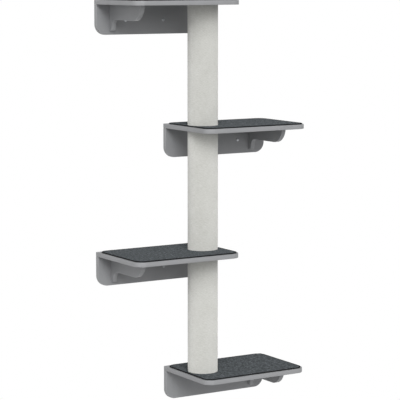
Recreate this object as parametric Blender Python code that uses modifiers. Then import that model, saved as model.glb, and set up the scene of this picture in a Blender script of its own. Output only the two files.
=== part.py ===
"""Wall-mounted cat tree: four shelves on one line of sisal posts, each screwed to the wall.

Metres, +Z up. X runs along the wall and is zero on the posts' axis. Y is zero on the wall and
negative in front of it. Z is zero at mid-thickness of the lowest shelf. Tiers are numbered from
the bottom, and their shelves reach right and left by turns.
"""
import math

import bmesh
import bpy

# The run of tiers
tier_count = 4
post_run = 0.400            # clear height from one shelf to the next
board_thick = 0.015         # shelves, wall plates and brackets are cut from one board
seam = 0.0003               # left between pieces that touch
overrun = 0.002             # how far a cutter passes a face
weld = 0.000003             # points closer than this become one

# Shelf
shelf_far = 0.328           # from the post's axis to the end that reaches out
shelf_near = 0.068          # from the post's axis to the other end
shelf_depth = 0.280
shelf_corner = 0.035        # radius of the two front corners
board_round = 0.0008        # the edge band's softened edges

# Wall plate, under the shelf's rear edge
plate_drop = 0.099          # its height below the shelf
plate_corner = 0.035        # radius of its two bottom corners

# Bracket, a stepped board that stands square to the wall
bracket_inset = 0.0484      # from the shelf's far end to the bracket's outer face
leg_drop = 0.0865           # below the shelf
leg_foot = 0.028            # from the wall to the leg's front edge, at its foot
leg_knee = 0.036            # the same where the leg's front edge would meet the arm
arm_drop = 0.0504           # below the shelf
arm_flat = 0.1685           # from the wall to where the arm's underside starts to curve
nose_radius = 0.052
knee_radius = 0.020         # fillet between leg and arm
bracket_corner = 0.0025     # the foot's front corner

# Carpet mat
mat_thick = 0.0025
mat_inset = 0.005           # from the shelf's front and ends; its four corners follow the shelf's
mat_wall_inset = 0.0076     # from the wall
mat_round = 0.0008
mat_clear = 0.0006          # round the post

# Sisal post
post_out = 0.142            # from the wall to the posts' axis
post_radius = 0.0505
sleeve_thick = 0.003
sleeve_round = 0.0009
core_wall = 0.006
plug_length = 0.022
plug_face = 0.006
plug_wall = 0.003
plug_boss = 0.010           # radius of the threaded boss

# Bolts that hold the posts to the shelves
bolt_radius = 0.004
bolt_grip = 0.018           # how far a bolt or stud reaches into a post
bolt_head = 0.0075          # radius of the domed head
bolt_head_height = 0.0045
bolt_crown = 0.0042         # radius of the flat on top of the dome
bolt_dome = 0.002           # height of the dome's slope
bolt_flange = 0.011
bolt_flange_thick = 0.0015
bolt_sink = 0.0005          # how far the head lies below the face
bolt_room = 0.001           # round the flange in its counterbore
bolt_chamfer = 0.0008

# Wall screws
wall_screw_far = 0.1085     # from the shelf's far end
wall_screw_pitch = 0.143    # from there to the second screw
wall_screw_drop = 0.053     # below the shelf
wall_screw_radius = 0.0025
wall_screw_length = 0.050
wall_screw_head = 0.00475
wall_screw_head_height = 0.0028
wall_screw_tip = 0.005
pan_head_shares = ((0, 1), (0.60, 0.95), (0.93, 0.60), (1, 0))  # of the head's radius and height

# Countersunk screws in the bracket's edges
edge_screw_radius = 0.002
edge_screw_length = 0.040
edge_screw_head = 0.004
edge_screw_rim = 0.0004
edge_screw_tip = 0.004
edge_screw_sink = 0.0002    # how far the head lies below the face
arm_screw_outs = (0.070, 0.165)     # from the wall to the two screws under the mat
leg_screw_drop = 0.026      # below the shelf, the screw behind the wall plate

# Dowels between shelf and wall plate
dowel_radius = 0.004
dowel_in_shelf = 0.010
dowel_in_plate = 0.018
dowel_chamfer = 0.001
dowel_inset = 0.030         # from either end of the shelf

# Facets of round shapes
post_steps = 40
plug_steps = 20
screw_steps = 12            # screws and bolts, and the holes that take them
corner_steps = 8
nose_steps = 8
knee_steps = 4

# Angles between faces, in degrees
bevel_above = 50            # edges sharper than this are softened
smooth_below = 35           # edges flatter than this are shaded smooth
flat_below = 1              # faces closer than this are one face

pitch = post_run + board_thick
shelf_width = shelf_far + shelf_near
axis_y = -post_out
plate_mid_y = -board_thick / 2


def clear_scene():
    for old in list(bpy.data.objects):
        bpy.data.objects.remove(old, do_unlink=True)


def new_collection(name):
    made = bpy.data.collections.new(name)
    bpy.context.scene.collection.children.link(made)
    return made


def new_material(name, colour, roughness, metallic=0.0):
    made = bpy.data.materials.new(name)
    made.use_nodes = True
    shader = made.node_tree.nodes["Principled BSDF"]
    shader.inputs["Base Color"].default_value = (*colour, 1.0)
    shader.inputs["Roughness"].default_value = roughness
    shader.inputs["Metallic"].default_value = metallic
    made.diffuse_color = (*colour, 1.0)
    return made


def side_of(tier):
    """1 for a shelf that reaches right, -1 for one that reaches left."""
    return 1 if tier % 2 else -1


def board_base(tier):
    """Height of a shelf's underside."""
    return (tier - 1) * pitch - board_thick / 2


def from_far_end(tier, distance):
    """X of a point at a distance from a shelf's far end."""
    return side_of(tier) * (shelf_far - distance)


def arc(centre, radius, start, end, steps):
    """Points of an arc, angles in degrees, both ends included."""
    points = []
    for i in range(steps + 1):
        angle = math.radians(start + (end - start) * i / steps)
        points.append((centre[0] + radius * math.cos(angle), centre[1] + radius * math.sin(angle)))
    return points


def as_mesh(obj):
    """Turns a curve object into a welded mesh object of the same name and place."""
    bpy.context.view_layer.update()
    graph = bpy.context.evaluated_depsgraph_get()
    mesh = bpy.data.meshes.new_from_object(obj.evaluated_get(graph))
    name, place = obj.name, obj.matrix_world.copy()
    home = obj.users_collection[0]
    bpy.data.objects.remove(obj, do_unlink=True)
    welded = bmesh.new()
    welded.from_mesh(mesh)
    bmesh.ops.remove_doubles(welded, verts=welded.verts, dist=weld)
    bmesh.ops.dissolve_limit(
        welded, angle_limit=math.radians(flat_below), verts=welded.verts, edges=welded.edges)
    welded.to_mesh(mesh)
    welded.free()
    made = bpy.data.objects.new(name, mesh)
    made.matrix_world = place
    home.objects.link(made)
    return made


def flat_board(name, outline, thick, home):
    """A closed flat outline in the object's XY plane, thickened evenly about it."""
    curve = bpy.data.curves.new(name, "CURVE")
    curve.dimensions = "2D"
    curve.fill_mode = "BOTH"
    curve.extrude = thick / 2
    spline = curve.splines.new("POLY")
    spline.points.add(len(outline) - 1)
    for point, (x, y) in zip(spline.points, outline):
        point.co = (x, y, 0, 1)
    spline.use_cyclic_u = True
    obj = bpy.data.objects.new(name, curve)
    home.objects.link(obj)
    return as_mesh(obj)


def soften(obj, width):
    """Rounds the sharp edges of a piece."""
    bevel = obj.modifiers.new("soft_edges", "BEVEL")
    bevel.width = width
    bevel.segments = 1
    bevel.limit_method = "ANGLE"
    bevel.angle_limit = math.radians(bevel_above)


def turned(name, profile, steps, home):
    """A shape turned about its Z axis from (radius, height) points, top to bottom."""
    mesh = bpy.data.meshes.new(name)
    shape = bmesh.new()
    corners = [shape.verts.new((radius, 0, height)) for radius, height in profile]
    for one, two in zip(corners, corners[1:]):
        shape.edges.new((one, two))
    if profile[0][0] > 0:
        shape.edges.new((corners[-1], corners[0]))
    shape.to_mesh(mesh)
    shape.free()
    obj = bpy.data.objects.new(name, mesh)
    home.objects.link(obj)
    screw = obj.modifiers.new("turn", "SCREW")
    screw.steps = steps
    screw.render_steps = steps
    screw.use_merge_vertices = True
    screw.merge_threshold = weld
    return obj


def cut(piece, cutter):
    """Takes the cutter's shape out of a piece."""
    boolean = piece.modifiers.new("cut_" + cutter.name, "BOOLEAN")
    boolean.operation = "DIFFERENCE"
    boolean.object = cutter


def as_cutter(obj):
    obj.hide_render = True
    obj.display_type = "WIRE"
    return obj


def drill(name, place, turn, radius, length, pieces):
    """Bores a blind round hole from a face, along the placed object's -Z."""
    top = overrun
    profile = [(0, top), (radius, top), (radius, -length), (0, -length)]
    cutter = as_cutter(turned(name, profile, screw_steps, cutters))
    cutter.location = place
    cutter.rotation_euler = turn
    for piece in pieces:
        cut(piece, cutter)


# Ways a turned piece can point: its head or top end lies up, down, out from the wall or at it
head_up = (0, 0, 0)
head_down = (math.pi, 0, 0)
head_out = (math.pi / 2, 0, 0)
head_back = (-math.pi / 2, 0, 0)


def dress(obj, material):
    """Gives a piece its material, and smooth shading where it's round."""
    obj.data.materials.clear()
    obj.data.materials.append(material)
    obj.data.shade_smooth()
    obj.data.set_sharp_from_angle(angle=math.radians(smooth_below))


def make_shelf(tier):
    half = shelf_width / 2
    right, front, back = half, -shelf_depth, 0
    inner_x, inner_y = right - shelf_corner, front + shelf_corner
    outline = [(-right, back)]
    outline += arc((-inner_x, inner_y), shelf_corner, 180, 270, corner_steps)
    outline += arc((inner_x, inner_y), shelf_corner, 270, 360, corner_steps)
    outline += [(right, back)]
    shelf = flat_board(f"shelf_board_{tier}", outline, board_thick, parts)
    shelf.location = (from_far_end(tier, half), 0, board_base(tier) + board_thick / 2)
    soften(shelf, board_round)
    return shelf


def make_wall_plate(tier):
    half = shelf_width / 2
    top, bottom = -seam, -plate_drop
    inner_x, inner_y = half - plate_corner, bottom + plate_corner
    outline = [(-half, top)]
    outline += arc((-inner_x, inner_y), plate_corner, 180, 270, corner_steps)
    outline += arc((inner_x, inner_y), plate_corner, 270, 360, corner_steps)
    outline += [(half, top)]
    plate = flat_board(f"wall_plate_{tier}", outline, board_thick, parts)
    plate.location = (from_far_end(tier, half), plate_mid_y, board_base(tier))
    plate.rotation_euler = (math.pi / 2, 0, 0)
    soften(plate, board_round)
    return plate


def make_bracket(tier):
    """A leg down the wall plate and an arm out under the shelf, with a rounded nose."""
    back = -(board_thick + seam)
    top = -seam
    centre = (-arm_flat, nose_radius - arm_drop)
    nose_start = 180 + math.degrees(math.asin((centre[1] - top) / nose_radius))
    slope = math.atan2(leg_knee - leg_foot, leg_drop - arm_drop)
    # The knee's fillet touches the arm's underside and the leg's front edge
    reach = knee_radius * math.tan((math.pi / 2 - slope) / 2)
    knee = (-leg_knee - reach, -arm_drop - knee_radius)
    outline = [(back, top)]
    outline += [(back, -leg_drop)]
    outline += arc(
        (-leg_foot + bracket_corner, -leg_drop + bracket_corner), bracket_corner,
        270, 180 - math.degrees(slope), knee_steps)
    outline += arc(knee, knee_radius, -math.degrees(slope), 90, knee_steps)
    outline += arc(centre, nose_radius, 270, nose_start, nose_steps)
    bracket = flat_board(f"bracket_{tier}", outline, board_thick, parts)
    middle = from_far_end(tier, bracket_inset + board_thick / 2)
    bracket.location = (middle, 0, board_base(tier))
    bracket.rotation_euler = (math.pi / 2, 0, math.pi / 2)
    soften(bracket, board_round)
    return bracket


def make_mat(tier):
    half = shelf_width / 2 - mat_inset
    front, back = -shelf_depth + mat_inset, -mat_wall_inset
    radius = shelf_corner - mat_inset
    inner_x, near, out = half - radius, back - radius, front + radius
    outline = arc((-inner_x, near), radius, 90, 180, corner_steps)
    outline += arc((-inner_x, out), radius, 180, 270, corner_steps)
    outline += arc((inner_x, out), radius, 270, 360, corner_steps)
    outline += arc((inner_x, near), radius, 0, 90, corner_steps)
    mat = flat_board(f"mat_{tier}", outline, mat_thick, parts)
    rise = board_thick + seam + mat_thick / 2
    mat.location = (from_far_end(tier, shelf_width / 2), 0, board_base(tier) + rise)
    soften(mat, mat_round)
    if tier < tier_count:
        top = mat_thick + overrun
        radius = post_radius + mat_clear
        profile = [(0, top), (radius, top), (radius, -top), (0, -top)]
        hole = as_cutter(turned(f"mat_hole_{tier}", profile, post_steps, cutters))
        hole.location = (0, axis_y, board_base(tier) + rise)
        cut(mat, hole)
    return mat


def make_post(post):
    """Core tube, sisal sleeve and two moulded plugs, standing on the shelf of the same number."""
    base = board_base(post) + board_thick
    middle = base + post_run / 2
    half = post_run / 2 - seam
    inside = post_radius - sleeve_thick
    sleeve = turned(f"sisal_sleeve_{post}", [
        (post_radius, half - sleeve_round),
        (post_radius, -half + sleeve_round),
        (post_radius - sleeve_round, -half),
        (inside, -half),
        (inside, half),
        (post_radius - sleeve_round, half),
    ], post_steps, parts)
    core_out = inside - seam
    core_in = core_out - core_wall
    core = turned(f"core_tube_{post}", [
        (core_out, half),
        (core_out, -half),
        (core_in, -half),
        (core_in, half),
    ], post_steps, parts)
    for tube in (sleeve, core):
        tube.location = (0, axis_y, middle)
    plug_out = core_in - seam
    profile = [
        (bolt_radius + seam, 0),
        (plug_out, 0),
        (plug_out, -plug_length),
        (plug_out - plug_wall, -plug_length),
        (plug_out - plug_wall, -plug_face),
        (plug_boss, -plug_face),
        (plug_boss, -plug_length),
        (bolt_radius + seam, -plug_length),
    ]
    top = turned(f"post_plug_top_{post}", profile, plug_steps, parts)
    top.location = (0, axis_y, middle + half)
    foot = turned(f"post_plug_foot_{post}", profile, plug_steps, parts)
    foot.location = (0, axis_y, middle - half)
    foot.rotation_euler = head_down
    return sleeve, core, top, foot


def make_stud(tier, shelf):
    """A threaded stud through a shelf, from the post below it into the post above."""
    half = board_thick / 2 + bolt_grip
    stud = turned(f"post_stud_{tier}", [
        (0, half),
        (bolt_radius - bolt_chamfer, half),
        (bolt_radius, half - bolt_chamfer),
        (bolt_radius, -half + bolt_chamfer),
        (bolt_radius - bolt_chamfer, -half),
        (0, -half),
    ], screw_steps, parts)
    stud.location = (0, axis_y, board_base(tier) + board_thick / 2)
    top = (0, axis_y, board_base(tier) + board_thick)
    drill(f"stud_hole_{tier}", top, head_up, bolt_radius + seam, board_thick + overrun, [shelf])
    return stud


def make_end_bolt(name, tier, shelf, turn, face):
    """A flanged bolt through the first or last shelf, its head sunk in the shelf's outer face."""
    under = bolt_sink + bolt_head_height + bolt_flange_thick
    tip = board_thick + bolt_grip
    bolt = turned(name, [
        (0, -bolt_sink),
        (bolt_crown, -bolt_sink),
        (bolt_head, -bolt_sink - bolt_dome),
        (bolt_head, -under + bolt_flange_thick),
        (bolt_flange, -under + bolt_flange_thick),
        (bolt_flange, -under),
        (bolt_radius, -under),
        (bolt_radius, -tip + bolt_chamfer),
        (bolt_radius - bolt_chamfer, -tip),
        (0, -tip),
    ], screw_steps, parts)
    bolt.location = (0, axis_y, face)
    bolt.rotation_euler = turn
    spot = (0, axis_y, face)
    room = bolt_flange + bolt_room
    drill(f"{name}_recess", spot, turn, room, under + seam, [shelf])
    drill(f"{name}_hole", spot, turn, bolt_radius + seam, board_thick + overrun, [shelf])
    return bolt


def make_wall_screw(name, x, z, plate):
    """A pan-headed screw through the wall plate; its tip stands in the wall."""
    face = -board_thick
    seat = face - seam
    profile = []
    for radius_share, height_share in pan_head_shares:
        profile.append((wall_screw_head * radius_share, wall_screw_head_height * height_share))
    profile += [
        (wall_screw_radius, 0),
        (wall_screw_radius, wall_screw_tip - wall_screw_length),
        (0, -wall_screw_length),
    ]
    screw = turned(name, profile, screw_steps, parts)
    screw.location = (x, seat, z)
    screw.rotation_euler = head_out
    spot = (x, face, z)
    through = board_thick + overrun
    drill(f"{name}_hole", spot, head_out, wall_screw_radius + seam, through, [plate])
    return screw


def edge_screw_profile(grow, cap):
    """Countersunk screw, or with a grown outline the hole that takes it."""
    head, shank = edge_screw_head + grow, edge_screw_radius + grow
    rim = -edge_screw_sink - edge_screw_rim - grow
    cone = rim - (edge_screw_head - edge_screw_radius)
    tip = -edge_screw_sink - edge_screw_length - grow
    return [
        (0, cap),
        (head, cap),
        (head, rim),
        (shank, cone),
        (shank, tip + edge_screw_tip),
        (0, tip),
    ]


def make_edge_screw(name, spot, turn, pieces):
    screw = turned(name, edge_screw_profile(0, -edge_screw_sink), screw_steps, parts)
    hole = as_cutter(turned(
        f"{name}_hole", edge_screw_profile(seam, overrun), screw_steps, cutters))
    for placed in (screw, hole):
        placed.location = spot
        placed.rotation_euler = turn
    for piece in pieces:
        cut(piece, hole)
    return screw


def make_dowel(name, x, tier, shelf, plate):
    """A wooden pin that stands half in the wall plate's top edge and half in the shelf."""
    base = board_base(tier)
    dowel = turned(name, [
        (0, dowel_in_shelf),
        (dowel_radius - dowel_chamfer, dowel_in_shelf),
        (dowel_radius, dowel_in_shelf - dowel_chamfer),
        (dowel_radius, -dowel_in_plate + dowel_chamfer),
        (dowel_radius - dowel_chamfer, -dowel_in_plate),
        (0, -dowel_in_plate),
    ], screw_steps, parts)
    dowel.location = (x, plate_mid_y, base)
    spot = (x, plate_mid_y, base)
    bore = dowel_radius + seam
    drill(f"{name}_hole_down", spot, head_up, bore, dowel_in_plate + seam, [plate])
    drill(f"{name}_hole_up", spot, head_down, bore, dowel_in_shelf + seam, [shelf])
    return dowel


clear_scene()
parts = new_collection("wall_cat_tree")
cutters = new_collection("cutters")

grey_board = new_material("grey_board", (0.40, 0.41, 0.42), 0.55)
charcoal_carpet = new_material("charcoal_carpet", (0.075, 0.080, 0.085), 0.95)
sisal = new_material("sisal", (0.60, 0.60, 0.55), 0.90)
core_card = new_material("core_card", (0.42, 0.33, 0.23), 0.85)
black_plastic = new_material("black_plastic", (0.03, 0.03, 0.03), 0.50)
zinc_steel = new_material("zinc_steel", (0.55, 0.56, 0.58), 0.35, 1.0)
beech = new_material("beech", (0.62, 0.43, 0.25), 0.60)

for tier in range(1, tier_count + 1):
    shelf = make_shelf(tier)
    plate = make_wall_plate(tier)
    bracket = make_bracket(tier)
    for board in (shelf, plate, bracket):
        dress(board, grey_board)
    dress(make_mat(tier), charcoal_carpet)

    under = board_base(tier)
    for i in range(2):
        x = from_far_end(tier, wall_screw_far + i * wall_screw_pitch)
        name = f"wall_screw_{tier}_{i + 1}"
        dress(make_wall_screw(name, x, under - wall_screw_drop, plate), zinc_steel)

    arm_x = from_far_end(tier, bracket_inset + board_thick / 2)
    for i, out in enumerate(arm_screw_outs):
        spot = (arm_x, -out, under + board_thick)
        name = f"arm_screw_{tier}_{i + 1}"
        dress(make_edge_screw(name, spot, head_up, [shelf, bracket]), zinc_steel)
    spot = (arm_x, 0, under - leg_screw_drop)
    dress(make_edge_screw(f"leg_screw_{tier}", spot, head_back, [plate, bracket]), zinc_steel)

    for i, inset in enumerate((dowel_inset, shelf_width - dowel_inset)):
        name = f"dowel_{tier}_{i + 1}"
        dress(make_dowel(name, from_far_end(tier, inset), tier, shelf, plate), beech)

    if tier == 1:
        dress(make_end_bolt("foot_bolt", tier, shelf, head_down, under), zinc_steel)
    elif tier == tier_count:
        face = under + board_thick
        dress(make_end_bolt("top_bolt", tier, shelf, head_up, face), zinc_steel)
    else:
        dress(make_stud(tier, shelf), zinc_steel)

for post in range(1, tier_count):
    sleeve, core, *plugs = make_post(post)
    dress(sleeve, sisal)
    dress(core, core_card)
    for plug in plugs:
        dress(plug, black_plastic)
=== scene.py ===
"""Looks of the wall-mounted cat tree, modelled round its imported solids. Metres, +Z up.

X runs along the wall, the wall is the plane Y = 0 and the room is on its negative side.
"""
import math
from contextlib import contextmanager

import bmesh
import bpy
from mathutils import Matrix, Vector


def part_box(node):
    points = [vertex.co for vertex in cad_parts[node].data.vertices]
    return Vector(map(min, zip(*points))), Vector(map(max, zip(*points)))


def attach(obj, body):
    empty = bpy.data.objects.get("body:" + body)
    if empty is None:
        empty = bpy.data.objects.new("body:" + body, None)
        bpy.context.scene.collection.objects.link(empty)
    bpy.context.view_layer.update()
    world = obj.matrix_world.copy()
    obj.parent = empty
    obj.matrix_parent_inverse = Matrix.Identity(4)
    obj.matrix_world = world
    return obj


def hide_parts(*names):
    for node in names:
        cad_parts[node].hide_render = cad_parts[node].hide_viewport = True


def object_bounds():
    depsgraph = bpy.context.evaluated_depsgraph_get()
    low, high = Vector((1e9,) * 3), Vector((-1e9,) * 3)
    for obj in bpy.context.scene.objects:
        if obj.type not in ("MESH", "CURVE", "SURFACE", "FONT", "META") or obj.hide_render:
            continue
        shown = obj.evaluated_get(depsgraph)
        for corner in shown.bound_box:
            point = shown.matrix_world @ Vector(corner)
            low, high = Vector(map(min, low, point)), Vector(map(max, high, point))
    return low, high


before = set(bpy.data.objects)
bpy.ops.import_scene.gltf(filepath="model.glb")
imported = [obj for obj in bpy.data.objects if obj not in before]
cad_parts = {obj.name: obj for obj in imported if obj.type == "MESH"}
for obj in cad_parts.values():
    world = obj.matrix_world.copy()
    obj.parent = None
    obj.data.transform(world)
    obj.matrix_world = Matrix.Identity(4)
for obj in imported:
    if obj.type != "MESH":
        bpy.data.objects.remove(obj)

cad_lo, cad_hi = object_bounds()

tiers = (1, 2, 3, 4)
top_tier = 4
posts = (1, 2, 3)

# Boards
board_thick = 0.015
corner_radius = 0.035       # shelf fronts and the wall plates' lower corners
corner_steps = 16
edge_round = 0.0008
edge_steps = 3
band_inset = 0.0003         # from the rounded edge to the edge band's joint
joint_width = 0.00008
joint_depth = 0.00006
sharp_angle = math.radians(50)
smooth_angle = math.radians(32)
flat_angle = math.radians(0.5)      # faces closer than this become one
axis_share = 0.999          # an edge or normal with this share along an axis is parallel to it
main_face_share = 1 / 3     # of the largest face; only a board's two sides are above it

# Bracket
leg_drop = 0.0865
leg_foot = 0.028
leg_knee = 0.036
arm_drop = 0.0504
arm_flat = 0.1685
nose_radius = 0.052
nose_steps = 24
knee_radius = 0.020
knee_steps = 12
foot_radius = 0.0025
foot_steps = 5
seam = 0.0003               # between pieces that touch
spare = 0.010               # extra height and reach of blanks and cutters
close = 0.00006             # places nearer than this are one

# Mat
mat_radius = 0.030
mat_corner_steps = 14
pile_cuts = 95              # and then each of these cells in two
pile_height = 0.0009
pile_grain = 0.0022
pile_smooth_angle = math.radians(60)
rim_tuck = 0.0020           # the carpet ends this far inside its bound edge
edging_width = 0.0056
edging_height = 0.0034
edging_resolution = 3       # makes the cord ten-sided
stitch_pitch = 0.0018
stitch_dip_share = 0.88     # of the cord's radius, between two wraps

# Posts and their sisal cover
post_out = 0.142            # from the wall to the posts' axis
cover_thick = 0.0028
rib_pitch = 0.0042
rib_depth = 0.00055
rib_share = 0.65            # of the depth, the rest comes and goes with the warp
knot_count = 54
rows_per_rib = 4
columns_per_knot = 4
rib_smooth_angle = math.radians(70)
seam_turn = 0.02            # half the angle of the butt joint at the back
butt_depth = 0.0008

# Wall screw, pan headed
pan_radius = 0.00475
pan_height = 0.0028
pan_round = 0.0021
wall_shank = 0.0025
wall_shank_length = 0.050
wall_tip = 0.005
wall_thread_pitch = 0.0024

# Countersunk screw through the wall plate's back into the bracket
sunk_radius = 0.004
sunk_rim = 0.0004
sunk_depth = 0.0002
sunk_shank = 0.002
sunk_length = 0.040
sunk_tip = 0.004
sunk_thread_pitch = 0.0018

# Cross recess and thread
recess_reach_share = 0.55   # of the head's radius, to each side
recess_width = 0.0010
recess_depth = 0.0016
recess_taper = 0.55         # its foot, of its mouth
core_share = 0.72           # a thread's core, of its outer radius
ridge_share = 0.42          # half a thread ridge's foot, of the pitch
ridge_bite = 0.00008        # how far the foot reaches into the core
screw_tip_share = 0.1       # a screw's point, of its core's radius
thread_steps = 14
screw_steps = 36
head_round_steps = 6

# Flanged bolt up into the lowest post
bolt_shank = 0.004
bolt_shank_length = 0.0265
bolt_chamfer = 0.0008
bolt_core_share = 0.9       # its core, of the shank's outer radius
bolt_tip_share = 0.85       # its chamfered end, of the core's radius
bolt_pitch = 0.00125
flange_radius = 0.011
flange_height = 0.0015
flange_round = 0.0004
cap_radius = 0.0075
cap_height = 0.0045
cap_round = 0.0024
socket_sides = 6
socket_radius = 0.0029
socket_depth = 0.0030
bolt_sink = 0.0005          # how far the head lies below the shelf's underside
recess_room = 0.001         # round the flange in its counterbore
hole_steps = 48


def to_linear(level):
    """Linear share of an sRGB level from 0 to 255."""
    share = level / 255
    return share / 12.92 if share <= 0.04045 else ((share + 0.055) / 1.055) ** 2.4


def tone(red, green, blue):
    return (to_linear(red), to_linear(green), to_linear(blue), 1.0)


# Sockets of a Mix node for colours, by number because its sockets share names
mix_factor = 0
mix_first = 6
mix_second = 7
mix_result = 2


class Signal:
    """An output socket of a material, with arithmetic that adds Math nodes."""

    def __init__(self, tree, socket=None):
        self.tree = tree
        self.socket = socket

    def node(self, kind, settings=None, sockets=None, out=0):
        """Adds a node of a kind: settings first, then its sockets' values or links."""
        made = self.tree.nodes.new(kind)
        for name, value in (settings or {}).items():
            setattr(made, name, value)
        for name, value in (sockets or {}).items():
            if isinstance(value, Signal):
                self.tree.links.new(value.socket, made.inputs[name])
            else:
                made.inputs[name].default_value = value
        return Signal(self.tree, made.outputs[out])

    def math(self, operation, *terms):
        return self.node("ShaderNodeMath", {"operation": operation}, dict(enumerate(terms)))

    def __add__(self, other):
        return self.math("ADD", self, other)

    __radd__ = __add__

    def __sub__(self, other):
        return self.math("SUBTRACT", self, other)

    def __rsub__(self, other):
        return self.math("SUBTRACT", other, self)

    def __mul__(self, other):
        return self.math("MULTIPLY", self, other)

    __rmul__ = __mul__

    def over(self, low=0.3, high=0.7):
        """0 below low, 1 above high, in proportion between; as it stands, for a noise."""
        return self.node("ShaderNodeMapRange", {"clamp": True}, {
            "Value": self, "From Min": low, "From Max": high})

    def blend(self, first, second):
        """The first colour where this is 0, the second where it is 1."""
        return self.node("ShaderNodeMix", {"data_type": "RGBA"}, {
            mix_factor: self, mix_first: first, mix_second: second}, mix_result)

    def ramp(self, ends, between):
        """Colours along this signal, from (place, colour) pairs for its ends and between them."""
        made = self.tree.nodes.new("ShaderNodeValToRGB")
        stops = made.color_ramp.elements
        for stop, (place, colour) in zip((stops[0], stops[1]), ends):
            stop.position = place
            stop.color = colour
        for place, colour in between:
            stops.new(place).color = colour
        self.tree.links.new(self.socket, made.inputs["Fac"])
        return Signal(self.tree, made.outputs["Color"])


def new_finish(name):
    """A new material: (the material, its Principled shader, a Signal to build from)."""
    made = bpy.data.materials.new(name)
    made.use_nodes = True
    return made, made.node_tree.nodes["Principled BSDF"], Signal(made.node_tree)


def feed(signal, socket):
    signal.tree.links.new(signal.socket, socket)


def place_of(start, stretch=(1, 1, 1), turn=(0, 0, 0)):
    """Object coordinates in metres, stretched and turned for a grain."""
    here = start.node("ShaderNodeTexCoord", out="Object")
    return start.node("ShaderNodeMapping", {}, {"Vector": here, "Scale": stretch, "Rotation": turn})


def noise(start, size, detail=2.0, rough=0.5, stretch=(1, 1, 1), turn=(0, 0, 0)):
    """Noise from 0 to 1 whose blotches are about size metres across."""
    return start.node("ShaderNodeTexNoise", {}, {
        "Vector": place_of(start, stretch, turn), "Scale": 1 / size,
        "Detail": detail, "Roughness": rough})


def colour_by(signal, dark, light, shader):
    """Colours a surface from dark to light by a signal."""
    feed(signal.over().blend(dark, light), shader.inputs["Base Color"])


def shade(colour, share):
    return tuple(part * share for part in colour[:3]) + (1.0,)


def set_values(shader, values):
    """Sets constants on a shader's own sockets."""
    for name, value in values.items():
        shader.inputs[name].default_value = value


def bump(start, shader, height, distance, strength):
    """A bump of a height signal, with its full height given in metres."""
    made = start.node("ShaderNodeBump", {}, {
        "Height": height, "Distance": distance, "Strength": strength})
    feed(made, shader.inputs["Normal"])


cloud_dark = 0.93           # the melamine's darkest and lightest clouds, of its own grey
cloud_light = 1.06


def make_melamine(name, base, rough_low, rough_high):
    """Satin melamine on board: near even grey with a faint cloud and a fine pebbled face."""
    made, shader, start = new_finish(name)
    cloud = noise(start, size=0.070, detail=3.0)
    speck = noise(start, size=0.0016)
    tint = cloud * 0.6 + speck * 0.4
    colour_by(tint, shade(base, cloud_dark), shade(base, cloud_light), shader)
    rub = noise(start, size=0.018, detail=4.0, rough=0.6)
    feed(rub * (rough_high - rough_low) + rough_low, shader.inputs["Roughness"])
    pebble = noise(start, size=0.0007, detail=1.0)
    bump(start, shader, pebble, distance=0.00003, strength=0.5)
    return made


def make_carpet():
    """Needled charcoal carpet: short fibres of several greys lying all ways."""
    made, shader, start = new_finish("charcoal_carpet")
    blotch = noise(start, size=0.0085, rough=0.6)
    tuft = noise(start, size=0.0030, detail=3.0, rough=0.65)
    one_way = noise(start, size=0.0012, rough=0.7, stretch=(0.22, 1, 1), turn=(0, 0, 0.5))
    other_way = noise(start, size=0.0012, rough=0.7, stretch=(1, 0.22, 1), turn=(0, 0, -0.2))
    fibre = one_way.math("MAXIMUM", one_way, other_way)
    mixed = blotch * 0.42 + tuft * 0.36 + fibre * 0.22
    ends = ((0.38, tone(39, 42, 44)), (0.64, tone(112, 116, 120)))
    between = ((0.47, tone(62, 66, 68)), (0.55, tone(81, 85, 88)))
    feed(mixed.ramp(ends, between), shader.inputs["Base Color"])
    set_values(shader, {"Roughness": 1.0, "Diffuse Roughness": 1.0, "Specular IOR Level": 0.1})
    bump(start, shader, fibre * 0.6 + tuft * 0.4, distance=0.0012, strength=0.8)
    return made


def make_edging():
    """Black yarn wound round the mats' rims."""
    made, shader, start = new_finish("black_yarn")
    fuzz = noise(start, size=0.0006, rough=0.6)
    colour_by(fuzz, tone(10, 11, 12), tone(27, 28, 30), shader)
    set_values(shader, {"Roughness": 0.95, "Specular IOR Level": 0.2})
    bump(start, shader, fuzz, distance=0.0002, strength=0.6)
    return made


def make_sisal():
    """Woven sisal: pale grey yarns that run round the post, in a slow drift of tones."""
    made, shader, start = new_finish("sisal")
    drift = noise(start, size=0.050, detail=3.0, rough=0.55)
    yarn = noise(start, size=0.0035, detail=3.0, rough=0.6, stretch=(0.4, 0.4, 1.6))
    strand = noise(start, size=0.0007, rough=0.7, stretch=(0.35, 0.35, 1.8))
    colour_by(drift * 0.15 + yarn * 0.45 + strand * 0.40,
              tone(192, 192, 186), tone(223, 223, 220), shader)
    set_values(shader, {"Roughness": 0.95, "Diffuse Roughness": 1.0, "Specular IOR Level": 0.15})
    bump(start, shader, strand, distance=0.0003, strength=0.7)
    return made


def make_zinc():
    """Bright plated steel with fine turning marks."""
    made, shader, start = new_finish("bright_zinc")
    bright = tone(196, 198, 202)
    dull_share = 0.85
    roughness = 0.32
    spread = 0.15
    mark = noise(start, size=0.0008, detail=3.0, rough=0.6)
    colour_by(mark, shade(bright, dull_share), bright, shader)
    set_values(shader, {"Metallic": 1.0})
    feed(mark * spread + (roughness - spread / 2), shader.inputs["Roughness"])
    bump(start, shader, mark, distance=0.00004, strength=0.4)
    return made


def make_card():
    """Brown card wound in a spiral."""
    made, shader, start = new_finish("wound_card")
    pulp = noise(start, size=0.0022, detail=4.0, rough=0.65)
    colour_by(pulp, tone(150, 120, 88), tone(188, 158, 120), shader)
    set_values(shader, {"Roughness": 0.9})
    bump(start, shader, pulp, distance=0.0002, strength=0.5)
    return made


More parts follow.
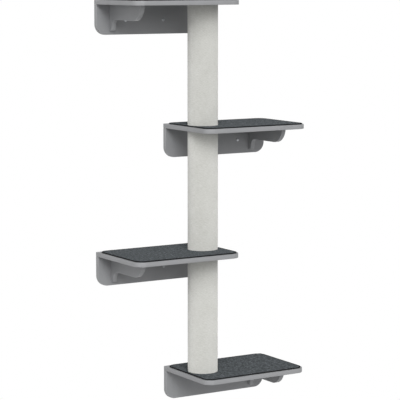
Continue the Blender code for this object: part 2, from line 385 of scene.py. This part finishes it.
def make_moulded():
    """Black moulded plastic with a fine spark texture."""
    made, shader, start = new_finish("moulded_plastic")
    spark = noise(start, size=0.0005)
    colour_by(spark, tone(36, 36, 37), tone(46, 46, 47), shader)
    feed(spark * 0.15 + 0.42, shader.inputs["Roughness"])
    bump(start, shader, spark, distance=0.00005, strength=0.5)
    return made


def make_beech():
    """Bare beech with its grain along the dowel."""
    made, shader, start = new_finish("bare_beech")
    grain = noise(start, size=0.0020, detail=4.0, rough=0.6, stretch=(1, 1, 0.12))
    colour_by(grain, tone(190, 148, 104), tone(222, 186, 142), shader)
    set_values(shader, {"Roughness": 0.7})
    bump(start, shader, grain, distance=0.0001, strength=0.5)
    return made


grey_face = make_melamine("melamine_face", tone(142, 143, 145), 0.42, 0.54)
grey_band = make_melamine("edge_band", tone(149, 150, 152), 0.36, 0.46)
carpet = make_carpet()
black_yarn = make_edging()
sisal = make_sisal()
bright_zinc = make_zinc()
card = make_card()
moulded = make_moulded()
beech = make_beech()


def activate(piece):
    """Makes a piece the active object and the only selected one."""
    bpy.ops.object.select_all(action="DESELECT")
    piece.select_set(True)
    bpy.context.view_layer.objects.active = piece


@contextmanager
def editing(piece, mode="EDGE"):
    """Edit mode on one piece, with nothing selected at first."""
    activate(piece)
    bpy.ops.object.mode_set(mode="EDIT")
    bpy.ops.mesh.select_mode(type=mode)
    bpy.ops.mesh.select_all(action="DESELECT")
    yield
    bpy.ops.object.mode_set(mode="OBJECT")


def pick(piece, kind, wanted):
    """Selects only the edges or faces for which wanted(item) is true."""
    bpy.ops.mesh.select_all(action="DESELECT")
    shape = bmesh.from_edit_mesh(piece.data)
    for item in getattr(shape, kind):
        if wanted(item):
            item.select_set(True)
    bmesh.update_edit_mesh(piece.data)


def middle_of(edge):
    return (edge.verts[0].co + edge.verts[1].co) / 2


def centre_of(node):
    """The middle of a CAD node's box."""
    lo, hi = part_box(node)
    return (lo + hi) / 2


def near(one, two):
    return abs(one - two) < close


def along(edge, axis):
    """True for an edge that runs along X, Y or Z (0, 1 or 2)."""
    run = edge.verts[1].co - edge.verts[0].co
    return abs(run[axis]) > run.length * axis_share


def faces_up(face):
    return face.normal.z > axis_share


def faces_down(face):
    return face.normal.z < -axis_share


def settle(name):
    """Names the active object and moves its place, turn and scale into its mesh."""
    made = bpy.context.object
    made.name = made.data.name = name
    bpy.ops.object.transform_apply(location=True, rotation=True, scale=True)
    return made


def blank(name, lo, hi):
    """A plain block between two corners, to be shaped."""
    bpy.ops.object.select_all(action="DESELECT")
    bpy.ops.mesh.primitive_cube_add(size=1, location=(lo + hi) / 2, scale=hi - lo)
    return settle(name)


def cylinder(name, radius, height, base=0):
    """An upright cylinder that stands on a base height."""
    bpy.ops.object.select_all(action="DESELECT")
    bpy.ops.mesh.primitive_cylinder_add(
        vertices=screw_steps, radius=radius, depth=height, location=(0, 0, base + height / 2))
    return settle(name)


def apply_all(piece):
    """Applies a piece's modifiers, first to last."""
    activate(piece)
    for modifier in list(piece.modifiers):
        bpy.ops.object.modifier_apply(modifier=modifier.name)


def bore(piece, cutter, operation="DIFFERENCE"):
    """Cuts with another solid, and clears it away."""
    modifier = piece.modifiers.new("bore", "BOOLEAN")
    modifier.operation = operation
    modifier.object = cutter
    apply_all(piece)
    bpy.data.objects.remove(cutter, do_unlink=True)


def smooth(piece, angle=smooth_angle):
    activate(piece)
    bpy.ops.object.shade_smooth_by_angle(angle=angle)


def repeat(piece, name, shift, turn=None):
    """A copy with its own mesh, turned and moved."""
    activate(piece)
    bpy.ops.object.duplicate()
    made = bpy.context.object
    if turn:
        made.rotation_euler = turn
    made.location = shift
    return settle(name)


def drill(piece, place, axis, radius, depth, far_radius=None):
    """Bores a round or tapered hole of a depth, from a place on a face and along an axis."""
    turn = Vector(axis).to_track_quat("Z", "Y").to_euler()
    middle = Vector(place) + Vector(axis) * (depth / 2)
    bpy.ops.object.select_all(action="DESELECT")
    bpy.ops.mesh.primitive_cone_add(
        vertices=hole_steps, radius1=radius, radius2=radius if far_radius is None else far_radius,
        depth=depth, location=middle, rotation=turn)
    bore(piece, bpy.context.object)


def finish_piece(piece, node, slot, *materials):
    """Rides the tree, stands for its CAD node and takes its materials."""
    if not piece.data.materials:
        for material in materials:
            piece.data.materials.append(material)
    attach(piece, "root")
    if node:
        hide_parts(node)
    return piece


def band_edges(piece, axis):
    """Rounds a board's rims and sinks the fine joint between its faces and its edge band."""
    piece.data.materials.append(grey_face)
    piece.data.materials.append(grey_band)
    with editing(piece):
        bpy.ops.mesh.edges_select_sharp(sharpness=sharp_angle)
        bpy.ops.mesh.bevel(offset=edge_round, segments=edge_steps, affect="EDGES")
        bpy.ops.mesh.select_mode(type="FACE")
        least = main_face_share * max(
            face.calc_area() for face in bmesh.from_edit_mesh(piece.data).faces)
        pick(piece, "faces", lambda face: abs(face.normal[axis]) > axis_share
             and face.calc_area() > least)
        bpy.ops.mesh.inset(thickness=band_inset, depth=0)
        bpy.ops.mesh.inset(thickness=joint_width, depth=-joint_depth)
        bpy.ops.mesh.inset(thickness=joint_width, depth=joint_depth)
        bpy.ops.mesh.select_all(action="INVERT")
        piece.active_material_index = 1
        bpy.ops.object.material_slot_assign()


def make_board(name, node, thin_axis, low_axis):
    """A board with no holes as yet, its two corners at the low end of an axis rounded."""
    lo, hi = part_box(node)
    board = blank(name, lo, hi)
    with editing(board):
        pick(board, "edges", lambda edge: along(edge, thin_axis)
             and near(middle_of(edge)[low_axis], lo[low_axis]))
        bpy.ops.mesh.bevel(offset=corner_radius, segments=corner_steps, affect="EDGES")
    band_edges(board, thin_axis)
    return board


def make_bracket():
    """An arm with a rounded nose and a leg that steps down the wall plate."""
    lo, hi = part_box("bracket_1")
    under = hi.z + seam
    arm_base = under - arm_drop
    tip = -arm_flat - nose_radius
    blank_lo = Vector((lo.x, tip, arm_base))
    blank_hi = Vector((hi.x, hi.y, arm_base + nose_radius + spare))
    bracket = blank("brace_1", blank_lo, blank_hi)
    slope = math.atan2(leg_knee - leg_foot, leg_drop - arm_drop)
    knee_reach = knee_radius * math.tan((math.pi / 2 - slope) / 2)
    foot_reach = foot_radius * math.tan((math.pi / 2 + slope) / 2)

    def at(edge, y, z):
        spot = middle_of(edge)
        return along(edge, 0) and near(spot.y, y) and near(spot.z, z)

    with editing(bracket):
        pick(bracket, "edges", lambda edge: at(edge, tip, arm_base))
        bpy.ops.mesh.bevel(offset=nose_radius, segments=nose_steps, affect="EDGES")
        bpy.ops.mesh.select_all(action="SELECT")
        bpy.ops.mesh.bisect(
            plane_co=(0, 0, hi.z), plane_no=(0, 0, 1), use_fill=True, clear_outer=True)
        bpy.ops.mesh.select_all(action="SELECT")
        bpy.ops.mesh.bisect(plane_co=(0, -leg_knee, 0), plane_no=(0, 1, 0))
        bpy.ops.mesh.select_mode(type="FACE")
        pick(bracket, "faces", lambda face: faces_down(face)
             and face.calc_center_median().y > -leg_knee)
        bpy.ops.mesh.extrude_region_move(
            TRANSFORM_OT_translate={"value": (0, 0, arm_drop - leg_drop)})
        bpy.ops.mesh.select_mode(type="EDGE")
        foot = under - leg_drop
        pick(bracket, "edges", lambda edge: at(edge, -leg_knee, foot))
        bpy.ops.transform.translate(value=(0, leg_knee - leg_foot, 0))
        pick(bracket, "edges", lambda edge: at(edge, -leg_knee, arm_base))
        bpy.ops.mesh.bevel(offset=knee_reach, segments=knee_steps, affect="EDGES")
        pick(bracket, "edges", lambda edge: at(edge, -leg_foot, foot))
        bpy.ops.mesh.bevel(offset=foot_reach, segments=foot_steps, affect="EDGES")
        bpy.ops.mesh.select_all(action="SELECT")
        bpy.ops.mesh.dissolve_limited(angle_limit=flat_angle)
    band_edges(bracket, 0)
    return bracket


def drill_plate(plate, tier):
    """Clearance holes for the wall screws and a countersunk one from behind."""
    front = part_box(f"wall_plate_{tier}")[0].y - spare
    through = board_thick + 2 * spare
    for i in (1, 2):
        x, _, z = centre_of(f"wall_screw_{tier}_{i}")
        drill(plate, (x, front, z), (0, 1, 0), wall_shank + seam, through)
    x, _, z = centre_of(f"leg_screw_{tier}")
    hole = sunk_shank + seam
    head_room = sunk_radius + seam
    rim = sunk_depth + sunk_rim + seam
    drill(plate, (x, spare, z), (0, -1, 0), hole, through)
    drill(plate, (x, spare, z), (0, -1, 0), head_room, spare + rim)
    drill(plate, (x, -rim, z), (0, -1, 0), head_room, sunk_radius - sunk_shank, hole)


def rounded(name, lo, hi, radius, steps):
    """A block with its four upright edges rounded."""
    made = blank(name, lo, hi)
    with editing(made):
        pick(made, "edges", lambda edge: along(edge, 2))
        bpy.ops.mesh.bevel(offset=radius, segments=steps, affect="EDGES")
    return made


def make_mat(tier):
    """Carpet cut to shape, with a nubby pile."""
    lo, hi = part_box(f"mat_{tier}")
    tuck = Vector((rim_tuck, rim_tuck, 0))
    lo, hi = lo + tuck, hi - tuck
    past = Vector((spare, spare, 0))
    mat = blank(f"carpet_{tier}", lo - past, hi + past)
    with editing(mat, "FACE"):
        pick(mat, "faces", faces_up)
        bpy.ops.mesh.subdivide(number_cuts=pile_cuts)
        bpy.ops.mesh.subdivide(number_cuts=1)
    over = Vector((0, 0, spare))
    corner = mat_radius - rim_tuck
    outline = rounded("outline", lo - over, hi + over, corner, mat_corner_steps)
    corners = (4 - math.pi) * corner ** 2
    area = (hi.x - lo.x) * (hi.y - lo.y) - corners
    if tier < top_tier:
        sleeve_lo, sleeve_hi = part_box(f"sisal_sleeve_{tier}")
        radius = (sleeve_hi.x - sleeve_lo.x) / 2 + seam
        drill(outline, (0, -post_out, lo.z - 2 * spare), (0, 0, 1), radius, 5 * spare)
        area -= math.pi * radius ** 2
    bore(mat, outline, "INTERSECT")
    top = mat.vertex_groups.new(name="pile")
    raised = [vertex.index for vertex in mat.data.vertices if near(vertex.co.z, hi.z)]
    top.add(raised, 1.0, "REPLACE")
    nub = bpy.data.textures.new("pile_nubs", "CLOUDS")
    nub.noise_scale = pile_grain
    lift = mat.modifiers.new("pile", "DISPLACE")
    lift.texture = nub
    lift.texture_coords = "LOCAL"
    lift.direction = "Z"
    lift.vertex_group = "pile"
    lift.strength = pile_height
    apply_all(mat)
    mat.vertex_groups.clear()
    smooth(mat, pile_smooth_angle)
    return mat


def outline_points(lo, hi, radius, pitch):
    """Points at an even pitch round a rectangle with rounded corners."""
    length = 2 * (hi.x - lo.x + hi.y - lo.y - 4 * radius) + 2 * math.pi * radius
    count = 2 * round(length / pitch / 2)
    centres = (
        (hi.x - radius, hi.y - radius), (lo.x + radius, hi.y - radius),
        (lo.x + radius, lo.y + radius), (hi.x - radius, lo.y + radius))
    runs = (hi.x - lo.x - 2 * radius, hi.y - lo.y - 2 * radius) * 2
    points = []
    for i in range(count):
        left = length * i / count
        for quarter in range(4):
            start = quarter * math.pi / 2
            bend = radius * math.pi / 2
            x, y = centres[quarter]
            if left < bend:
                angle = start + left / radius
                points.append((x + radius * math.cos(angle), y + radius * math.sin(angle)))
                break
            left -= bend
            if left < runs[quarter]:
                angle = start + math.pi / 2
                points.append((
                    x + radius * math.cos(angle) - left * math.sin(angle),
                    y + radius * math.sin(angle) + left * math.cos(angle)))
                break
            left -= runs[quarter]
    return points


def make_edging_cord(tier):
    """Yarn wound closely round the mat's rim: one wrap for each stitch."""
    lo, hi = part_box(f"mat_{tier}")
    half = edging_width / 2
    inset = Vector((half, half, 0))
    points = outline_points(lo + inset, hi - inset, mat_radius - half, stitch_pitch / 2)
    curve = bpy.data.curves.new(f"edging_{tier}", "CURVE")
    curve.dimensions = "3D"
    curve.bevel_depth = half
    curve.bevel_resolution = edging_resolution
    spline = curve.splines.new("POLY")
    spline.points.add(len(points) - 1)
    for i, (x, y) in enumerate(points):
        spline.points[i].co = (x, y, 0, 1)
        spline.points[i].radius = stitch_dip_share if i % 2 else 1
    spline.use_cyclic_u = True
    edging = bpy.data.objects.new(f"edging_{tier}", curve)
    bpy.context.scene.collection.objects.link(edging)
    edging.scale.z = edging_height / edging_width
    edging.location.z = lo.z + edging_height / 2
    activate(edging)
    bpy.ops.object.convert(target="MESH")
    edging = settle(f"edging_{tier}")
    smooth(edging, pile_smooth_angle)
    return edging


def make_cover():
    """Woven sisal glued round the core: ribs of weft that pass over and under by turns."""
    lo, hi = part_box("sisal_sleeve_1")
    centre = (lo + hi) / 2
    radius = (hi.x - lo.x) / 2
    height = hi.z - lo.z
    ribs = round(height / rib_pitch)
    bpy.ops.object.select_all(action="DESELECT")
    bpy.ops.mesh.primitive_cylinder_add(
        vertices=knot_count * columns_per_knot, radius=radius, depth=height, location=centre,
        end_fill_type="NOTHING")
    cover = settle("sisal_1")
    with editing(cover):
        pick(cover, "edges", lambda edge: along(edge, 2))
        bpy.ops.mesh.subdivide(number_cuts=ribs - 1)
        pick(cover, "edges", lambda edge: along(edge, 2))
        rows = rows_per_rib
        bpy.ops.mesh.subdivide(number_cuts=rows - 1)
    for vertex in cover.data.vertices:
        out = Vector((vertex.co.x - centre.x, vertex.co.y - centre.y))
        turn = math.atan2(out.x, -out.y)
        row = (vertex.co.z - lo.z) / height * ribs
        over = math.cos(knot_count / 2 * turn + math.pi * math.floor(row))
        rib = abs(math.sin(math.pi * row))
        dip = rib_depth * (1 - rib * (rib_share + (1 - rib_share) * over))
        if abs(turn) > math.pi - seam_turn:
            dip = rib_depth + butt_depth
        out *= 1 - dip / radius
        vertex.co.x = centre.x + out.x
        vertex.co.y = centre.y + out.y
    inner_share = (radius - cover_thick) / radius
    with editing(cover):
        pick(cover, "edges", lambda edge: edge.is_boundary and near(middle_of(edge).z, hi.z))
        for move, share in ((0, inner_share), (lo.z - hi.z, 1)):
            bpy.ops.mesh.extrude_region_move(TRANSFORM_OT_translate={"value": (0, 0, move)})
            bpy.ops.transform.resize(value=(share, share, 1), center_override=(0, centre.y, 0))
        pick(cover, "edges", lambda edge: edge.is_boundary)
        bpy.ops.mesh.bridge_edge_loops()
        bpy.ops.mesh.select_all(action="SELECT")
        bpy.ops.mesh.normals_make_consistent(inside=False)
    smooth(cover, rib_smooth_angle)
    return cover


def pull_shank(piece, radius, shank, length, tip, tip_share):
    """Draws a shank and its tip down out of the face under a head; radius is that face's."""
    bottom = min(vertex.co.z for vertex in piece.data.vertices)
    with editing(piece, "FACE"):
        pick(piece, "faces", lambda face: near(face.calc_center_median().z, bottom))
        if radius > shank:
            bpy.ops.mesh.inset(thickness=radius - shank, depth=0)
        bpy.ops.mesh.extrude_region_move(
            TRANSFORM_OT_translate={"value": (0, 0, -length + tip)})
        bpy.ops.mesh.extrude_region_move(TRANSFORM_OT_translate={"value": (0, 0, -tip)})
        bpy.ops.transform.resize(value=(tip_share, tip_share, 1), center_override=(0, 0, 0))


def wind_thread(piece, radius, pitch, top, length):
    """Winds a V thread round a shank, as one long closed ridge, and joins it on."""
    core = radius * core_share - ridge_bite
    half = pitch * ridge_share
    bpy.ops.object.select_all(action="DESELECT")
    bpy.ops.mesh.primitive_circle_add(vertices=3, radius=half, location=(0, 0, 0))
    ridge = bpy.context.object
    spots = ((core, top), (radius, top - half), (core, top - 2 * half))
    for vertex, (out, height) in zip(ridge.data.vertices, spots):
        vertex.co = (out, 0, height)
    turns = math.floor((length - 2 * half) / pitch)
    screw = ridge.modifiers.new("wind", "SCREW")
    screw.angle = 2 * math.pi * turns
    screw.screw_offset = -pitch * turns
    screw.steps = screw.render_steps = thread_steps * turns
    apply_all(ridge)
    with editing(ridge):
        bpy.ops.mesh.select_non_manifold()
        bpy.ops.mesh.edge_face_add()
        bpy.ops.mesh.select_all(action="SELECT")
        bpy.ops.mesh.normals_make_consistent(inside=False)
    activate(piece)
    ridge.select_set(True)
    bpy.ops.object.join()


def cut_cross(piece, radius, top):
    """Cuts a tapered cross recess into a head's top."""
    reach = radius * recess_reach_share
    for turn in (0, math.pi / 2):
        lo = Vector((-reach, -recess_width / 2, top - recess_depth))
        hi = Vector((reach, recess_width / 2, top + recess_depth))
        blade = blank("blade", lo, hi)
        with editing(blade, "FACE"):
            pick(blade, "faces", faces_down)
            bpy.ops.transform.resize(value=(recess_taper, recess_taper, 1))
        blade.rotation_euler.z = turn
        bore(piece, blade)


def make_wall_screw():
    """Pan head with a cross recess on a threaded shank, head up at the origin."""
    screw = cylinder("wall_screw", pan_radius, pan_height)
    with editing(screw):
        pick(screw, "edges", lambda edge: near(middle_of(edge).z, pan_height)
             and near(edge.verts[0].co.z, edge.verts[1].co.z))
        bpy.ops.mesh.bevel(offset=pan_round, segments=head_round_steps, affect="EDGES")
    core = wall_shank * core_share
    pull_shank(screw, pan_radius, core, wall_shank_length, wall_tip, screw_tip_share)
    cut_cross(screw, pan_radius, pan_height)
    wind_thread(screw, wall_shank, wall_thread_pitch, 0, wall_shank_length - wall_tip)
    smooth(screw)
    return screw


def make_sunk_screw():
    """Countersunk head with a cross recess on a threaded shank, its top at the origin."""
    rim_base = -sunk_rim
    cone = sunk_radius - sunk_shank
    screw = cylinder("sunk_screw", sunk_radius, sunk_rim, rim_base)
    with editing(screw, "FACE"):
        pick(screw, "faces", faces_down)
        bpy.ops.mesh.extrude_region_move(TRANSFORM_OT_translate={"value": (0, 0, -cone)})
        narrow = sunk_shank / sunk_radius
        bpy.ops.transform.resize(value=(narrow, narrow, 1), center_override=(0, 0, 0))
    length = sunk_length - sunk_rim - cone
    core = sunk_shank * core_share
    pull_shank(screw, sunk_shank, core, length, sunk_tip, screw_tip_share)
    cut_cross(screw, sunk_radius, 0)
    wind_thread(screw, sunk_shank, sunk_thread_pitch, rim_base - cone, length - sunk_tip)
    smooth(screw)
    return screw


def make_foot_bolt():
    """Flanged bolt with a domed head and a hexagon socket, its flange's underside at the origin."""
    bolt = cylinder("post_bolt", flange_radius, flange_height)
    with editing(bolt, "FACE"):
        pick(bolt, "faces", faces_up)
        bpy.ops.mesh.inset(thickness=flange_radius - cap_radius, depth=0)
        bpy.ops.mesh.extrude_region_move(TRANSFORM_OT_translate={"value": (0, 0, cap_height)})

    def rim_at(edge, height, radius):
        ends = [vertex.co for vertex in edge.verts]
        return all(near(end.z, height) and near(end.xy.length, radius) for end in ends)

    with editing(bolt):
        pick(bolt, "edges", lambda edge: rim_at(edge, flange_height + cap_height, cap_radius))
        bpy.ops.mesh.bevel(offset=cap_round, segments=head_round_steps, affect="EDGES")
        pick(bolt, "edges", lambda edge: rim_at(edge, flange_height, flange_radius))
        bpy.ops.mesh.bevel(offset=flange_round, segments=edge_steps, affect="EDGES")
    core = bolt_shank * bolt_core_share
    pull_shank(bolt, flange_radius, core, bolt_shank_length, bolt_chamfer, bolt_tip_share)
    top = flange_height + cap_height
    bpy.ops.object.select_all(action="DESELECT")
    bpy.ops.mesh.primitive_cylinder_add(
        vertices=socket_sides, radius=socket_radius, depth=2 * socket_depth, location=(0, 0, top))
    bore(bolt, bpy.context.object)
    wind_thread(bolt, bolt_shank, bolt_pitch, 0, bolt_shank_length - bolt_chamfer)
    smooth(bolt)
    return bolt


def add_copy(made, name, node, number):
    """Adds a copy of a kind's first piece, at the place of that kind's numbered node."""
    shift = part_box(f"{node}_{number}")[0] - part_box(f"{node}_1")[0]
    made.append(repeat(made[0], f"{name}_{number}", shift))


shelves = [make_board("shelf_1", "shelf_board_1", thin_axis=2, low_axis=1)]
plates = [make_board("plate_1", "wall_plate_1", thin_axis=1, low_axis=2)]
braces = [make_bracket()]
covers = [make_cover()]
for tier in tiers[1:]:
    add_copy(shelves, "shelf", "shelf_board", tier)
    add_copy(plates, "plate", "wall_plate", tier)
    add_copy(braces, "brace", "bracket", tier)
for post in posts[1:]:
    add_copy(covers, "sisal", "sisal_sleeve", post)

# The lowest shelf's counterbore and hole, which take the flanged bolt
recess = bolt_sink + cap_height + flange_height + seam
below = (0, -post_out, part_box("shelf_board_1")[0].z - spare)
drill(shelves[0], below, (0, 0, 1), flange_radius + recess_room, recess + spare)
drill(shelves[0], below, (0, 0, 1), bolt_shank + seam, board_thick + 2 * spare)

for tier, shelf, plate, brace in zip(tiers, shelves, plates, braces):
    drill_plate(plate, tier)
    for board in (shelf, plate, brace):
        smooth(board)
    finish_piece(shelf, f"shelf_board_{tier}", "grey_board")
    finish_piece(plate, f"wall_plate_{tier}", "grey_board")
    finish_piece(brace, f"bracket_{tier}", "grey_board")
    finish_piece(make_mat(tier), f"mat_{tier}", "charcoal_carpet", carpet)
    finish_piece(make_edging_cord(tier), None, "charcoal_carpet", black_yarn)
for post, cover in zip(posts, covers):
    finish_piece(cover, f"sisal_sleeve_{post}", "sisal", sisal)

pan_screw = make_wall_screw()
sunk_screw = make_sunk_screw()
post_bolt = make_foot_bolt()
head_out = (math.pi / 2, 0, 0)
head_back = (-math.pi / 2, 0, 0)
head_down = (math.pi, 0, 0)
for tier in tiers:
    for i in (1, 2):
        node = f"wall_screw_{tier}_{i}"
        spot = centre_of(node)
        spot.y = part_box(node)[0].y + pan_height
        screw = repeat(pan_screw, f"pan_screw_{tier}_{i}", spot, head_out)
        finish_piece(screw, node, "zinc_steel", bright_zinc)
    node = f"leg_screw_{tier}"
    spot = centre_of(node)
    spot.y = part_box(node)[1].y
    screw = repeat(sunk_screw, f"sunk_screw_{tier}", spot, head_back)
    finish_piece(screw, node, "zinc_steel", bright_zinc)
spot = (0, -post_out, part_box("foot_bolt")[0].z + cap_height + flange_height)
bolt = repeat(post_bolt, "flange_bolt", spot, head_down)
finish_piece(bolt, "foot_bolt", "zinc_steel", bright_zinc)
for pattern in (pan_screw, sunk_screw, post_bolt):
    bpy.data.objects.remove(pattern, do_unlink=True)

# Finishes of the CAD nodes that stay, by the start of their names
node_finishes = {
    "arm_screw": bright_zinc,
    "top_bolt": bright_zinc,
    "post_stud": bright_zinc,
    "core_tube": card,
    "post_plug": moulded,
    "dowel": beech,
}
for name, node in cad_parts.items():
    for start, material in node_finishes.items():
        if name.startswith(start):
            node.data.materials.clear()
            node.data.materials.append(material)


# Camera, at the photograph's viewing angle
camera_place = Vector((-3.1193, -5.1667, 1.3377))
camera_yaw = math.radians(31.744)
camera_pitch = math.radians(7.211)
focal_length = 1791.4       # in the picture's pixels
picture_width = 400
sensor_width = 36           # in millimetres
sight = 100                 # how far the camera sees

camera_data = bpy.data.cameras.new("camera")
camera_data.sensor_width = sensor_width
camera_data.lens = sensor_width * focal_length / picture_width
camera_data.clip_end = sight
camera = bpy.data.objects.new("camera", camera_data)
bpy.context.scene.collection.objects.link(camera)
camera.location = camera_place
camera.rotation_euler = (math.pi / 2 - camera_pitch, 0, -camera_yaw)
bpy.context.scene.camera = camera

# Floor, under the hung tree
floor_drop = 0.60
floor_size = 60
floor_grey = 0.62
shadow_share = 0.15         # of the floor's own shading that the camera sees near the tree
glow_from = 1.4             # from this radius that share grows less
glow_to = 2.4               # and from here on the camera sees even white
bpy.ops.object.select_all(action="DESELECT")
bpy.ops.mesh.primitive_plane_add(size=floor_size)
floor = bpy.context.object
floor.location.z = cad_lo.z - floor_drop
floor.name = "floor"


def seen_plainly(start):
    """1 for rays from the camera, in reflections and through glass, else 0."""
    camera_ray = start.node("ShaderNodeLightPath", out="Is Camera Ray")
    mirror_ray = start.node("ShaderNodeLightPath", out="Is Glossy Ray")
    glass_ray = start.node("ShaderNodeLightPath", out="Is Transmission Ray")
    return start.math("MAXIMUM", camera_ray, start.math("MAXIMUM", mirror_ray, glass_ray))


def make_floor_finish():
    """Pale floor that keeps the soft shadow and turns plain white further out."""
    made, shader, start = new_finish("pale_floor")
    set_values(shader, {
        "Base Color": (floor_grey, floor_grey, floor_grey, 1),
        "Roughness": 0.9,
        "Specular IOR Level": 0,
    })
    here = start.node("ShaderNodeTexCoord", out="Object")
    radius = start.node("ShaderNodeVectorMath", {"operation": "LENGTH"}, {"Vector": here}, "Value")
    glow = radius.over(glow_from, glow_to) * shadow_share + (1 - shadow_share)
    lit = Signal(start.tree, shader.outputs["BSDF"])
    white = start.node("ShaderNodeEmission", {}, {"Color": (1, 1, 1, 1), "Strength": 1.0})
    # A Mix Shader's sockets are its factor, then the two shaders
    both = start.node("ShaderNodeMixShader", {}, {0: seen_plainly(start) * glow, 1: lit, 2: white})
    feed(both, start.tree.nodes["Material Output"].inputs["Surface"])
    return made


floor.data.materials.append(make_floor_finish())

# Background and light
ambient = 0.37              # the world's strength where it only lights
world = bpy.data.worlds.new("studio")
bpy.context.scene.world = world
world.use_nodes = True
background = world.node_tree.nodes["Background"]
background.inputs["Color"].default_value = (1, 1, 1, 1)
plainly = seen_plainly(Signal(world.node_tree))
feed(plainly * (1 - ambient) + ambient, background.inputs["Strength"])

softboxes = (
    # name, degrees round from the camera to its left, degrees up, degrees wide, share
    ("key_softbox", 0, 35, 30, 0.42),
    ("right_softbox", -20, 20, 30, 0.30),
    ("left_softbox", 40, 5, 30, 0.14),
)
for name, aside, up, wide, share in softboxes:
    light = bpy.data.lights.new(name, "SUN")
    light.angle = math.radians(wide)
    light.energy = math.pi * share
    lamp = bpy.data.objects.new(name, light)
    bpy.context.scene.collection.objects.link(lamp)
    lamp.rotation_euler = (math.pi / 2 - math.radians(up), 0, -camera_yaw - math.radians(aside))

view = bpy.context.scene.view_settings
view.view_transform = "Standard"
